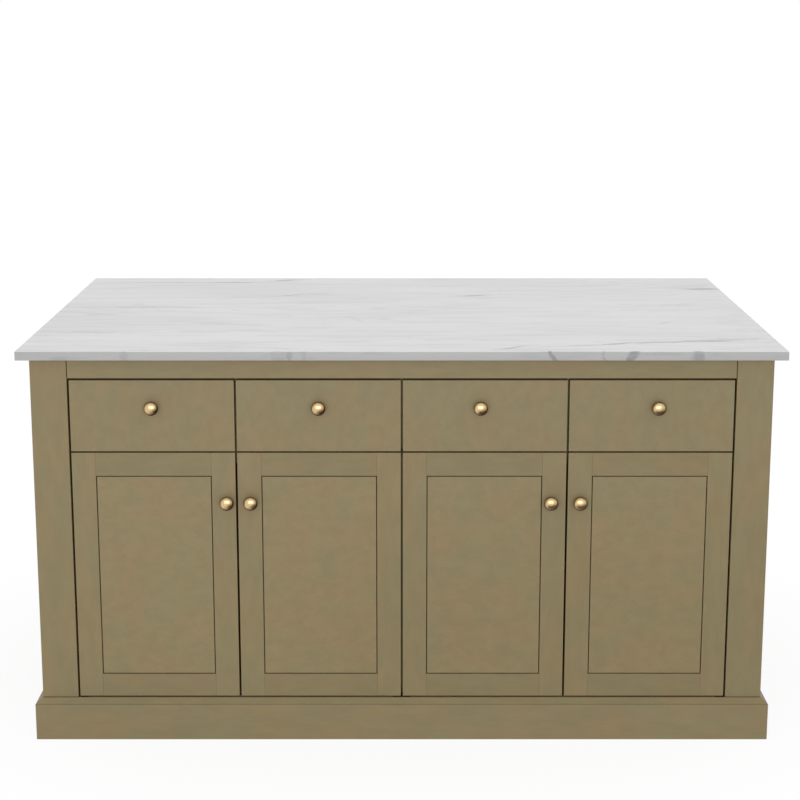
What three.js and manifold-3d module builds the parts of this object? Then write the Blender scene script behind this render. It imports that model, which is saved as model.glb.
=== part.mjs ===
// A free-standing kitchen island unit: four corner posts, a thin stone worktop, a mitred plinth,
// a row of four drawers and, below them, two double cupboards with frame-and-panel doors.
//
// Millimetres, +Z up. X runs along the unit, the fronts face -Y, and the origin is on the floor
// under the middle of the unit.

import * as THREE from "three";
import { mergeVertices } from "three/addons/utils/BufferGeometryUtils.js";
import Module from "manifold-3d";

const wasm = await Module();
wasm.setup();

// ---------------------------------------------------------------- driving sizes

// The whole unit
const unitHeight = 900; // floor to the top of the worktop
const bodyDepth = 900; // outside of the front posts to outside of the back posts
const seam = 0.3; // glue line or seating gap between two pieces that bear on each other

// Worktop
const worktopThickness = 20;
const worktopOverhang = 25; // past the posts, all round
const worktopArris = 1.5; // small flat taken off each long edge

// Corner posts: two boards glued into an L, open towards the inside
const postWidth = 80;
const postThickness = 20;

// The row of fronts between the posts
const frontCount = 4;
const frontWidth = 360;
const frontThickness = 20;
const frontGap = 4.5; // upright gap between two fronts, or a front and a post

// Heights of the front, from the top down
const topRailHeight = 45;
const railEndGap = 1.5; // air between an end of the top rail and a post
const drawerTopGap = 4.5; // under the top rail
const drawerFrontHeight = 160;
const doorTopGap = 3.5; // between a drawer front and the door under it
const doorBottomGap = 3.5; // over the plinth's top edge

// Plinth: boards planted on the posts, with a sloped top
const plinthHeight = 95;
const plinthThickness = 15;
const plinthSlopeHeight = 10.5;
const plinthTopFlat = 1; // flat left between the slope and the post

// Carcass boards
const boardThickness = 18;
const partitionThickness = 36; // two boards glued back to back
const carcassSetback = 3; // air between the back of a door and the front edge of the carcass
const bearerThickness = 36;
const cleatHeight = 20; // battens under the shelves, decks and base panel
const cleatWidth = 12;
const cleatInset = 20; // from the carcass front edge to the front end of a cleat
const joinDepth = 2; // how far a glued-on batten runs into its board
const cutPast = 1; // how far a cut runs past the face that it opens
const shelfTop = 398; // above the floor
const shelfSetback = 30; // behind the carcass front edge
const shelfEndGap = 0.8;

// Frames and their fields, on the doors, the two ends and the back. A field is nearly flush with
// its frame, and a narrow shadow gap runs all round it.
const frameWidth = 52.5; // stiles and rails
const shadowGap = 2;
const shadowDepth = 6; // from the face of the frame to the bottom of the gap
const fieldSetback = 0.8; // how far a field lies behind the face of its frame
const endFieldCount = 2;
const backFieldCount = 4;

// Doors
const tongueThickness = 8; // edge of the panel, held in a groove of the frame
const grooveDepth = 8; // groove round the inside of the door frame
const panelTongue = 7; // how far the panel stands in that groove

// Pivot hinges: a plate screwed to the deck or base panel, with a pin into the door's edge
const pivotFromEdge = 8; // pin centre, in from the door's hinge edge
const pivotFromFace = 5; // pin centre, behind the door's front face
const pinRadius = 2;
const pinLength = 12;
const boreRadius = 2.35;
const boreDepth = 13.5;
const pivotPlateWidth = 19;
const pivotPlateLength = 46;
const pivotPlateThickness = 2;
const pivotBossRadius = 5;
const screwHoleRadius = 2.2;
const screwHoleInset = 6; // from the plate's back end
const screwHolePitch = 11;
const pinSides = 16;

// Drawer boxes, each running on one wide centre runner
const drawerSideGap = 2.25; // air between a drawer box and the centre partition
const drawerBoxLength = 480;
const drawerBoxHeight = 130;
const drawerSideThickness = 12;
const drawerBottomThickness = 8;
const drawerBottomLift = 10; // from the lower edge of the sides to the bottom panel
const drawerBoxLift = 1.5; // from the lower edge of the front to the lower edge of the box
const deckDrop = 3; // from the lower edge of a drawer front to the deck's top
const runnerWidth = 40;
const runnerSideGap = 0.5; // to the guide strips under the drawer
const guideWidth = 14;

// Round knobs: a foot, a neck and a domed head
const knobRadius = 15.5;
const knobProjection = 24;
const knobFootRadius = 10.5;
const knobFootHeight = 2.5;
const knobNeckRadius = 6;
const knobDomeDepth = 9.5; // from the widest point of the head to its front
const knobUndersideDepth = 5; // from the widest point back towards the neck
const knobDomeSteps = 5;
const knobUndersideSteps = 2;
const knobSides = 24;
const drawerKnobDrop = 60; // knob centre below the top of the drawer front
const doorKnobDrop = 112; // knob centre below the top of the door
const drawerKnobShift = [0, 0, -10, 14]; // sideways from the middle of each drawer front
const doorKnobInset = [19, 29, 33, 27]; // in from the free edge of each door

// ---------------------------------------------------------------- sizes worked out

const bodyWidth = 2 * postWidth + frontCount * frontWidth + (frontCount + 1) * frontGap;
const bodyTop = unitHeight - worktopThickness;
const frontFace = -bodyDepth / 2; // face of the posts, drawers and doors
const backFace = bodyDepth / 2;
const outerX = bodyWidth / 2;
const innerX = outerX - postWidth; // inner edge of a post, and inner face of a carcass side
const backOfFronts = frontFace + frontThickness;
const carcassFront = backOfFronts + carcassSetback;
const carcassBack = backFace - postThickness - seam;

const topRailBottom = bodyTop - topRailHeight;
const drawerTop = topRailBottom - drawerTopGap;
const drawerBottom = drawerTop - drawerFrontHeight;
const doorTop = drawerBottom - doorTopGap;
const doorBottom = plinthHeight + doorBottomGap;
const doorHeight = doorTop - doorBottom;
const deckTop = drawerBottom - deckDrop;
const deckBottom = deckTop - boardThickness;
const baseTop = plinthHeight;
const baseBottom = baseTop - boardThickness;
const shelfBottom = shelfTop - boardThickness;
const plateLift = seam + pivotPlateThickness; // top of a hinge plate above what it lies on
const plateBack = frontFace + pivotPlateLength;

const frontPitch = frontWidth + frontGap;
const frontCentre = (index) => (index - (frontCount - 1) / 2) * frontPitch;
const drawerBoxWidth = frontPitch - partitionThickness - 2 * drawerSideGap;

// ---------------------------------------------------------------- materials

const finish = (color, roughness, metalness) =>
  new THREE.MeshStandardMaterial({ color, roughness, metalness });
const paintedWood = finish(0x8d7f5f, 0.6, 0);
const stone = finish(0xdcdcda, 0.3, 0);
const birch = finish(0xcdb48a, 0.6, 0);
const brass = finish(0xc79a3c, 0.22, 1);
const darkBronze = finish(0x2e2822, 0.45, 0.7);

// ---------------------------------------------------------------- shaping helpers

// A block between two limits along each axis.
function block([x0, x1], [y0, y1], [z0, z1]) {
  const shape = new THREE.BoxGeometry(x1 - x0, y1 - y0, z1 - z0);
  return shape.translate((x0 + x1) / 2, (y0 + y1) / 2, (z0 + z1) / 2);
}

// Two limits that lie a and b from the middle of the unit, on the left (-1) or the right (+1).
function span(side, a, b) {
  return [Math.min(side * a, side * b), Math.max(side * a, side * b)];
}

// A flat outline raised from z0 to z1.
function prism(points, z0, z1) {
  const outline = new THREE.Shape(points.map(([x, y]) => new THREE.Vector2(x, y)));
  const shape = new THREE.ExtrudeGeometry(outline, { depth: z1 - z0, bevelEnabled: false });
  return shape.translate(0, 0, z0);
}

// An upright cylinder from z0 to z1 on the axis (x, y).
function upright(radius, x, y, z0, z1) {
  const shape = new THREE.CylinderGeometry(radius, radius, z1 - z0, pinSides);
  return shape.rotateX(Math.PI / 2).translate(x, y, (z0 + z1) / 2);
}

function toSolid(geometry) {
  const bare = geometry.clone();
  bare.deleteAttribute("normal");
  bare.deleteAttribute("uv");
  const merged = mergeVertices(bare, 1e-4);
  return new wasm.Manifold(
    new wasm.Mesh({
      numProp: 3,
      vertProperties: new Float32Array(merged.attributes.position.array),
      triVerts: new Uint32Array(merged.index.array),
    }),
  );
}

// The first block joined with the added ones, less the cut ones.
function shaped(geometry, { add = [], cut = [] }) {
  let solid = toSolid(geometry);
  for (const piece of add) solid = solid.add(toSolid(piece));
  for (const piece of cut) solid = solid.subtract(toSolid(piece));
  const mesh = solid.getMesh();
  const indexed = new THREE.BufferGeometry();
  indexed.setAttribute("position", new THREE.BufferAttribute(mesh.vertProperties, 3));
  indexed.setIndex(new THREE.BufferAttribute(mesh.triVerts, 1));
  const flat = indexed.toNonIndexed();
  flat.computeVertexNormals();
  return flat;
}

const island = new THREE.Group();

function place(name, geometry, material, parent = island) {
  const mesh = new THREE.Mesh(geometry, material);
  mesh.name = name;
  parent.add(mesh);
  return mesh;
}

const sides = [
  { name: "left", sign: -1 },
  { name: "right", sign: 1 },
];

// ---------------------------------------------------------------- worktop

function addWorktop() {
  const x = outerX + worktopOverhang;
  const y = bodyDepth / 2 + worktopOverhang;
  const outline = new THREE.Shape([
    new THREE.Vector2(-x, -y),
    new THREE.Vector2(x, -y),
    new THREE.Vector2(x, y),
    new THREE.Vector2(-x, y),
  ]);
  const slab = new THREE.ExtrudeGeometry(outline, {
    depth: worktopThickness - 2 * worktopArris,
    bevelThickness: worktopArris,
    bevelSize: worktopArris,
    bevelOffset: -worktopArris,
    bevelSegments: 1,
  });
  place("worktop", slab, stone).position.z = bodyTop + worktopArris;
}

// ---------------------------------------------------------------- posts, rail and plinth

function addPosts() {
  const w = postWidth;
  const t = postThickness;
  const corner = [[0, 0], [w, 0], [w, t], [t, t], [t, w], [0, w]];
  const post = prism(corner, 0, bodyTop - seam);
  const places = [
    ["front_left_post", -outerX, frontFace],
    ["front_right_post", outerX, frontFace],
    ["back_right_post", outerX, backFace],
    ["back_left_post", -outerX, backFace],
  ];
  places.forEach(([name, x, y], quarter) => {
    const mesh = place(name, post, paintedWood);
    mesh.position.set(x, y, 0);
    mesh.rotation.z = (quarter * Math.PI) / 2;
  });
}

function addTopRail() {
  const x = [-innerX + railEndGap, innerX - railEndGap];
  const y = [frontFace, carcassFront - seam];
  place("front_top_rail", block(x, y, [topRailBottom, bodyTop - seam]), paintedWood);
}

// A plinth board that stands outside a face of the given length, mitred at both ends:
// each point of its outline reaches as far past the face's corner as it stands out from it.
function plinthBoard(faceLength) {
  const slopeFoot = plinthHeight - plinthSlopeHeight;
  const outline = new THREE.Shape([
    new THREE.Vector2(seam, 0),
    new THREE.Vector2(plinthThickness, 0),
    new THREE.Vector2(plinthThickness, slopeFoot),
    new THREE.Vector2(plinthTopFlat, plinthHeight),
    new THREE.Vector2(seam, plinthHeight),
  ]);
  const board = new THREE.ExtrudeGeometry(outline, { depth: 1, bevelEnabled: false });
  const point = board.attributes.position;
  for (let i = 0; i < point.count; i += 1) {
    const out = point.getX(i);
    const end = point.getZ(i) > 0.5 ? -1 : 1;
    const reach = faceLength / 2 + out - seam;
    point.setXYZ(i, end * reach, -out, point.getY(i));
  }
  board.computeVertexNormals();
  return board;
}

function addPlinth() {
  const long = plinthBoard(bodyWidth);
  const short = plinthBoard(bodyDepth);
  const places = [
    ["front_plinth", long, 0, frontFace],
    ["right_plinth", short, outerX, 0],
    ["back_plinth", long, 0, backFace],
    ["left_plinth", short, -outerX, 0],
  ];
  places.forEach(([name, board, x, y], quarter) => {
    const mesh = place(name, board, paintedWood);
    mesh.position.set(x, y, 0);
    mesh.rotation.z = (quarter * Math.PI) / 2;
  });
}

// ---------------------------------------------------------------- end and back panels

// The raised field in an opening: its edges stay a shadow gap clear of the frame.
function field([x0, x1], [z0, z1]) {
  const y = [fieldSetback, shadowDepth + joinDepth];
  return block([x0 + shadowGap, x1 - shadowGap], y, [z0 + shadowGap, z1 - shadowGap]);
}

// A framed panel standing on the floor: its face is at y = 0 and looks towards -Y.
// The fields lie side by side between the stiles.
function framedPanel(width, fieldCount) {
  const height = bodyTop - seam;
  const openWidth = (width - (fieldCount + 1) * frameWidth) / fieldCount;
  const z = [plinthHeight + frameWidth, height - frameWidth];
  const cut = [];
  const add = [];
  for (let i = 0; i < fieldCount; i += 1) {
    const left = -width / 2 + frameWidth + i * (openWidth + frameWidth);
    const x = [left, left + openWidth];
    cut.push(block(x, [-cutPast, shadowDepth], z));
    add.push(field(x, z));
  }
  const frame = shaped(block([-width / 2, width / 2], [0, postThickness], [0, height]), { cut });
  return shaped(frame, { add });
}

function addFramedPanels() {
  const endWidth = bodyDepth - 2 * postWidth - 2 * seam;
  const end = framedPanel(endWidth, endFieldCount);
  for (const { name, sign } of sides) {
    const mesh = place(`${name}_end_panel`, end, paintedWood);
    mesh.position.x = sign * outerX;
    mesh.rotation.z = (sign * Math.PI) / 2;
  }
  const back = place("back_panel", framedPanel(2 * (innerX - seam), backFieldCount), paintedWood);
  back.position.y = backFace;
  back.rotation.z = Math.PI;
}

// ---------------------------------------------------------------- carcass

// A batten glued to an upright board, under something whose lower face is at z.
function cleat(side, face, z) {
  const y = [carcassFront + cleatInset, carcassBack - cleatInset];
  return block(span(side, face + joinDepth, face - cleatWidth), y, [z - seam - cleatHeight, z - seam]);
}

function addCarcassSides() {
  const x = (side) => span(side, innerX, innerX + boardThickness);
  for (const { name, sign } of sides) {
    const board = block(x(sign), [backOfFronts + seam, carcassBack], [0, bodyTop - seam]);
    const add = [baseBottom, shelfBottom, deckBottom].map((z) => cleat(sign, innerX, z));
    place(`${name}_carcass_side`, shaped(board, { add }), birch);
  }
}

function addPartition() {
  const half = partitionThickness / 2;
  const board = block([-half, half], [carcassFront, carcassBack], [baseTop + seam, bodyTop - seam]);
  const add = [];
  for (const { sign } of sides) {
    // The cleats run into the partition, so each starts at its face and stands outwards.
    for (const z of [shelfBottom, deckBottom]) add.push(cleat(-sign, -half, z));
  }
  // Notches in the front edge: one for the decks and the plates on them, one for the lower plates.
  const notch = (z0, z1) =>
    block([-half - cutPast, half + cutPast], [carcassFront - cutPast, plateBack + seam], [z0, z1]);
  const cut = [
    notch(deckBottom - seam, deckTop + plateLift + seam),
    notch(baseTop, baseTop + plateLift + seam),
  ];
  place("centre_partition", shaped(board, { add, cut }), birch);
}

function addBase() {
  const edge = innerX - seam;
  const base = block([-edge, edge], [frontFace, carcassBack], [baseBottom, baseTop]);
  place("base_panel", base, birch);
  const x = [-bearerThickness / 2, bearerThickness / 2];
  place("base_bearer", block(x, [carcassFront, carcassBack], [0, baseBottom - seam]), birch);
}

// The deck under each pair of drawers. Its front corner reaches round the partition's front edge
// to the middle of the unit, where the hinge plates of the two middle doors are screwed to it.
function addDecks() {
  const inner = partitionThickness / 2 + seam;
  const outer = innerX - seam;
  for (const { name, sign } of sides) {
    const outline = [
      [outer, carcassFront],
      [outer, carcassBack],
      [inner, carcassBack],
      [inner, plateBack],
      [seam / 2, plateBack],
      [seam / 2, carcassFront],
    ].map(([x, y]) => [sign * x, y]);
    place(`${name}_drawer_deck`, prism(outline, deckBottom, deckTop), birch);
  }
}

function addShelves() {
  const a = partitionThickness / 2 + shelfEndGap;
  const b = innerX - shelfEndGap;
  const y = [carcassFront + shelfSetback, carcassBack - seam];
  for (const { name, sign } of sides) {
    place(`${name}_shelf`, block(span(sign, a, b), y, [shelfBottom, shelfTop]), birch);
  }
}

function addDrawerDividers() {
  const half = boardThickness / 2;
  for (const { name, sign } of sides) {
    const x = span(sign, frontPitch - half, frontPitch + half);
    const z = [deckTop + seam, bodyTop - seam];
    place(`${name}_drawer_divider`, block(x, [carcassFront, carcassBack], z), birch);
  }
}

// ---------------------------------------------------------------- knobs

// A turned knob that stands on y = 0 and points towards -Y.
function knobGeometry() {
  const widest = knobProjection - knobDomeDepth;
  const neckAngle = -Math.acos(knobNeckRadius / knobRadius);
  const outline = [
    [0, seam],
    [knobFootRadius, seam],
    [knobFootRadius, knobFootHeight / 2],
    [knobFootRadius - knobFootHeight / 2, knobFootHeight],
    [knobNeckRadius, knobFootHeight],
  ];
  for (let i = 0; i < knobUndersideSteps; i += 1) {
    const angle = neckAngle * (1 - i / knobUndersideSteps);
    outline.push([knobRadius * Math.cos(angle), widest + knobUndersideDepth * Math.sin(angle)]);
  }
  for (let i = 0; i < knobDomeSteps; i += 1) {
    const angle = ((Math.PI / 2) * i) / knobDomeSteps;
    outline.push([knobRadius * Math.cos(angle), widest + knobDomeDepth * Math.sin(angle)]);
  }
  outline.push([0, knobProjection]);
  const points = outline.map(([radius, reach]) => new THREE.Vector2(radius, reach));
  return new THREE.LatheGeometry(points, knobSides).rotateZ(Math.PI);
}

const knob = knobGeometry();

// ---------------------------------------------------------------- drawers

// The box: four sides and a bottom panel, with two guide strips under the bottom.
// x = 0 is its middle, y = 0 the back of the drawer front and z = 0 the front's lower edge.
function drawerBox() {
  const half = drawerBoxWidth / 2;
  const inside = half - drawerSideThickness;
  const front = seam;
  const back = front + drawerBoxLength;
  const low = drawerBoxLift;
  const high = low + drawerBoxHeight;
  const floor = low + drawerBottomLift;
  const top = high + cutPast;
  const inner = [front + drawerSideThickness, back - drawerSideThickness];
  const cut = [
    block([-inside, inside], inner, [floor + drawerBottomThickness, top]),
    block([-inside, inside], [front - cutPast, back + cutPast], [low - cutPast, floor]),
  ];
  const guide = runnerWidth / 2 + runnerSideGap;
  const add = sides.map(({ sign }) =>
    block(span(sign, guide, guide + guideWidth), [front, back], [low, floor + joinDepth]),
  );
  const hollow = shaped(block([-half, half], [front, back], [low, high]), { cut });
  return shaped(hollow, { add });
}

function addDrawers() {
  const front = block([-frontWidth / 2, frontWidth / 2], [0, frontThickness], [0, drawerFrontHeight]);
  const box = drawerBox();
  const runnerTop = drawerBottom + drawerBoxLift + drawerBottomLift - seam;
  for (let i = 0; i < frontCount; i += 1) {
    const name = `drawer_${i + 1}`;
    const x = frontCentre(i);
    const drawer = new THREE.Group();
    drawer.position.set(x, frontFace, drawerBottom);
    island.add(drawer);
    place(`${name}_front`, front, paintedWood, drawer);
    place(`${name}_box`, box, birch, drawer).position.y = frontThickness;
    place(`${name}_knob`, knob, brass, drawer).position.set(
      drawerKnobShift[i],
      0,
      drawerFrontHeight - drawerKnobDrop,
    );
    const runner = block(
      [x - runnerWidth / 2, x + runnerWidth / 2],
      [carcassFront + seam, carcassFront + seam + drawerBoxLength],
      [deckTop + seam, runnerTop],
    );
    place(`${name}_runner`, runner, birch);
  }
}

// ---------------------------------------------------------------- doors

// The frame, grooved for the panel and bored at its hinge edge for the two pins.
// x = 0 is the middle of the door, y = 0 its front face and z = 0 its lower edge.
function doorFrame(hingeSide) {
  const x = frontWidth / 2;
  const openX = x - frameWidth;
  const open = [frameWidth, doorHeight - frameWidth];
  const groove = [shadowDepth - seam, shadowDepth + tongueThickness + seam];
  const pinX = hingeSide * (x - pivotFromEdge);
  const cut = [
    block([-openX, openX], [-cutPast, frontThickness + cutPast], open),
    block(
      [-openX - grooveDepth, openX + grooveDepth],
      groove,
      [open[0] - grooveDepth, open[1] + grooveDepth],
    ),
    upright(boreRadius, pinX, pivotFromFace, doorHeight - boreDepth, doorHeight + cutPast),
    upright(boreRadius, pinX, pivotFromFace, -cutPast, boreDepth),
  ];
  return shaped(block([-x, x], [0, frontThickness], [0, doorHeight]), { cut });
}

// The panel: a tongue all round, held in the frame's groove, and the raised field in front of it.
function doorPanel() {
  const openX = frontWidth / 2 - frameWidth;
  const open = [frameWidth, doorHeight - frameWidth];
  const x = openX + panelTongue;
  const y = [shadowDepth, shadowDepth + tongueThickness];
  const tongue = block([-x, x], y, [open[0] - panelTongue, open[1] + panelTongue]);
  return shaped(tongue, { add: [field([-openX, openX], open)] });
}

// One hinge half: a plate that lies on z = 0, and a pin with its boss. The pin stands up into the
// door over a lower plate (+1), or hangs down into the door under an upper one (-1).
// x = 0, y = 0 is the pin's axis, and gap is the air between the plate and the door.
function pivotHinge(direction, gap) {
  const plateFront = -pivotFromFace;
  const plateEnd = plateFront + pivotPlateLength;
  const half = pivotPlateWidth / 2;
  const low = seam;
  const high = plateLift;
  const face = direction > 0 ? high : low;
  const root = face - (direction * pivotPlateThickness) / 2; // inside the plate
  const reach = (length) => [root, face + direction * length].sort((a, b) => a - b);
  const boss = upright(pivotBossRadius, 0, 0, ...reach(gap - seam));
  const pin = upright(pinRadius, 0, 0, ...reach(gap + pinLength));
  const holes = [0, 1].map((k) => {
    const y = plateEnd - screwHoleInset - k * screwHolePitch;
    return upright(screwHoleRadius, 0, y, low - cutPast, high + cutPast);
  });
  return shaped(block([-half, half], [plateFront, plateEnd], [low, high]), {
    add: [boss, pin],
    cut: holes,
  });
}

function addDoors() {
  const panel = doorPanel();
  const frames = { left: doorFrame(-1), right: doorFrame(1) };
  const lowerHinge = pivotHinge(1, doorBottom - baseTop - plateLift);
  const upperHinge = pivotHinge(-1, deckTop + seam - doorTop);
  for (let i = 0; i < frontCount; i += 1) {
    const name = `door_${i + 1}`;
    // Each pair of doors opens from its middle: odd doors hang on the left, even ones on the right.
    const hingeSide = i % 2 === 0 ? -1 : 1;
    const x = frontCentre(i);
    const pinX = x + hingeSide * (frontWidth / 2 - pivotFromEdge);
    const pinY = frontFace + pivotFromFace;
    const door = new THREE.Group();
    door.position.set(x, frontFace, doorBottom);
    island.add(door);
    place(`${name}_frame`, hingeSide < 0 ? frames.left : frames.right, paintedWood, door);
    place(`${name}_panel`, panel, paintedWood, door);
    place(`${name}_knob`, knob, brass, door).position.set(
      -hingeSide * (frontWidth / 2 - doorKnobInset[i]),
      0,
      doorHeight - doorKnobDrop,
    );
    place(`${name}_bottom_hinge`, lowerHinge, darkBronze).position.set(pinX, pinY, baseTop);
    place(`${name}_top_hinge`, upperHinge, darkBronze).position.set(pinX, pinY, deckTop);
  }
}

addWorktop();
addPosts();
addTopRail();
addPlinth();
addFramedPanels();
addCarcassSides();
addPartition();
addBase();
addDecks();
addShelves();
addDrawerDividers();
addDrawers();
addDoors();

export default island;
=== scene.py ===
# %% [markdown]
# # Dressing a kitchen island
#
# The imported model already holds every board, drawer and door of this island at its real size, and
# knows how each one moves. What it lacks is everything that a joiner, a painter and a stonemason
# add: eased edges, grain under the paint, veins in the stone and a polish on the knobs. This lesson
# adds them piece by piece, with Blender's mesh operators and node materials.

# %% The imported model
import math

import bmesh
import bpy
from mathutils import Matrix, Vector


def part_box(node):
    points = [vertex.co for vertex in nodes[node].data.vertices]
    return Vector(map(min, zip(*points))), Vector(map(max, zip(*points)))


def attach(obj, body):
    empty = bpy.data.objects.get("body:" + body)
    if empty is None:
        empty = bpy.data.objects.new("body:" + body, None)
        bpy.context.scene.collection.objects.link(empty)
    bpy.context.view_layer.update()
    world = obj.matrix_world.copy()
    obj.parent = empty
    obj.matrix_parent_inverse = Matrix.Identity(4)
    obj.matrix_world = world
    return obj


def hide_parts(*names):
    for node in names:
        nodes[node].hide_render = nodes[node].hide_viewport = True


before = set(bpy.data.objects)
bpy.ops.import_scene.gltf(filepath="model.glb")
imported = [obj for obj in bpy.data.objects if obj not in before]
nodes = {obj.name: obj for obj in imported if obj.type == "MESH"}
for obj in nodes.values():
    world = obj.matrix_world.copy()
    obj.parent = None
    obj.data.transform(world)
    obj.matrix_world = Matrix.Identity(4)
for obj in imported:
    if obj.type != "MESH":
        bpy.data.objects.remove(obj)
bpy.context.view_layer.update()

scene = bpy.context.scene
mm = 0.001
X, Y, Z = 0, 1, 2

# %% [markdown]
# ## Camera
#
# The photographer stood in front of the middle of the island, well above the worktop, with a longish
# lens. The upright edges stay almost upright, which a lens shift gives without tilting the camera
# much. A small shift keeps the island in the picture from every other side too.

# %% The camera
scene.view_settings.view_transform = "Standard"
camera_place = (-0.004, -3.872, 1.636)
camera_dip = math.radians(10.53)  # below the horizon
camera = bpy.data.objects.new("camera", bpy.data.cameras.new("camera"))
scene.collection.objects.link(camera)
camera.location = camera_place
camera.rotation_euler = (math.pi / 2 - camera_dip, 0, 0)
camera.data.sensor_width = 36
camera.data.lens = 72.5
camera.data.shift_y = -0.12
scene.camera = camera
print("camera at", camera_place, "with a lens of", camera.data.lens, "mm")

# %% [markdown]
# ## Node helpers
#
# Every finish below is a small tree of shader nodes. Writing each one by hand takes many lines, so
# one helper makes a node and fills its sockets: a socket given another socket is linked to it, and a
# socket given a number or a colour is set to it.

# %% Helpers for node trees
def linear(red, green, blue):
    """The colour that the shaders need for a colour written as three screen values of 0 to 255."""
    shares = [value / 255 for value in (red, green, blue)]
    return [s / 12.92 if s < 0.04045 else ((s + 0.055) / 1.055) ** 2.4 for s in shares] + [1]


def fill(tree, socket, value):
    if isinstance(value, bpy.types.NodeSocket):
        tree.links.new(value, socket)
    else:
        socket.default_value = value


def add(tree, kind, sockets=None, **settings):
    """A new node of the kind, with its settings and sockets filled in."""
    node = tree.nodes.new("ShaderNode" + kind)
    for name, value in settings.items():
        setattr(node, name, value)
    for name, value in (sockets or {}).items():
        fill(tree, node.inputs[name], value)
    return node


def mix(tree, share, first, second):
    """Two colours mixed; share 0 gives the first."""
    return add(tree, "Mix", {0: share, 6: first, 7: second}, data_type="RGBA").outputs[2]


def darker(colour, share):
    """The colour with a share of its light."""
    return [channel * share for channel in colour[:3]] + [1]


def sums(tree, operation, *values):
    node = add(tree, "Math", operation=operation)
    for socket, value in zip(node.inputs, values):
        fill(tree, socket, value)
    return node.outputs[0]


def spread(tree, value, low, high, new_low=0.0, new_high=1.0):
    """Stretches low..high to the new limits, with soft ends."""
    sockets = {"Value": value, "From Min": low, "From Max": high, "To Min": new_low, "To Max": new_high}
    return add(tree, "MapRange", sockets, interpolation_type="SMOOTHSTEP").outputs[0]


def noise(tree, at, scale, detail=2.0, stretch=(1, 1, 1), distortion=0.0):
    """Soft noise with `scale` features to a metre; a small stretch draws them out along that axis."""
    placed = add(tree, "Mapping", {"Vector": at, "Scale": stretch}).outputs[0]
    sockets = {"Vector": placed, "Scale": scale, "Detail": detail, "Distortion": distortion}
    return add(tree, "TexNoise", sockets).outputs[0]


def new_material(name):
    """A material, its tree, its shader, and the place on the piece that its patterns follow."""
    material = bpy.data.materials.new(name)
    material.use_nodes = True
    tree = material.node_tree
    at = add(tree, "TexCoord").outputs["Object"]
    return material, tree, tree.nodes["Principled BSDF"], at


def along(axis, share):
    """The stretch that draws a pattern out along one axis."""
    return tuple(share if a == axis else 1 for a in (X, Y, Z))


# %% [markdown]
# ## Paint
#
# The island is painted a khaki olive in a satin finish. Sprayed paint on timber isn't one flat
# colour: the fibres under it leave a fine relief along the board, and the shade drifts a little
# across it. The grain runs along each board, so the paint comes in three directions, and rails are a
# touch deeper than stiles, as light falls differently across their fibres. The broad panels and the
# drawer fronts are veneered, with shorter flecks and softer clouds. Down in the narrow grooves, gaps
# and joints, a very dark copy of the paint is laid as painted shade.

# %% The paint
khaki = linear(137, 122, 86)


def paint(name, grain, depth=1.0, drawn_out=0.02):
    """The island's paint. A smaller `drawn_out` gives longer fibres along the grain."""
    material, tree, shader, at = new_material(name)
    base = darker(khaki, depth)
    fibres = noise(tree, at, 900, 4, along(grain, drawn_out))
    pores = noise(tree, at, 2600, 2, along(grain, 0.05))
    mottle = noise(tree, at, 42, 5, along(grain, 0.3 + 4 * drawn_out), 0.4)
    drift = noise(tree, at, 17, 3, along(grain, 0.4 + 3 * drawn_out))
    warm = [base[0] * 1.05, base[1] * 0.99, base[2] * 0.98, 1]
    cool = [base[0] * 0.95, base[1] * 1.01, base[2] * 1.02, 1]
    colour = mix(tree, spread(tree, drift, 0.3, 0.7), warm, cool)
    colour = mix(tree, spread(tree, mottle, 0.3, 0.7, 0, 0.28), colour, darker(base, 0.7))
    colour = mix(tree, spread(tree, fibres, 0.3, 0.7, 0, 0.15), colour, darker(base, 0.6))
    fill(tree, shader.inputs["Base Color"], colour)
    fill(tree, shader.inputs["Roughness"], spread(tree, fibres, 0.2, 0.8, 0.46, 0.56))
    relief = sums(tree, "ADD", fibres, sums(tree, "MULTIPLY", pores, 0.4))
    bump = add(tree, "Bump", {"Strength": 0.35, "Distance": 0.00012, "Height": relief})
    fill(tree, shader.inputs["Normal"], bump.outputs[0])
    return material


paints = {axis: paint(f"paint_grain_{'xyz'[axis]}", axis) for axis in (X, Y, Z)}
rail_paints = {axis: paint(f"rail_paint_grain_{'xyz'[axis]}", axis, 0.95) for axis in (X, Y)}
veneer_paints = {
    axis: paint(f"veneer_paint_grain_{'xyz'[axis]}", axis, depth, 0.12)
    for axis, depth in ((X, 1.04), (Y, 1.04), (Z, 1.0))
}
# Painted shade for the narrow grooves, gaps and joints: a very dark copy of the paint.
gap_shade_paint = paint("painted_shade_in_gaps", Z, 0.14)
print(len(paints) + len(rail_paints) + len(veneer_paints) + 1, "paints")

# %% [markdown]
# ## Birch board
#
# The carcass and the drawer boxes are birch. The broad faces show pale veneer with fine, slightly
# darker lines. The edges of the carcass boards show the plies, one pale and one dark in turn, each
# about 1.4 mm thick. Which face is which comes from the face's own direction, so one tree covers all
# sides of a board. Edges that face the doors are lipped in the island's paint.

# %% The birch
ply_thickness = 1.4 * mm
carcass_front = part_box("centre_partition")[0].y


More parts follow.
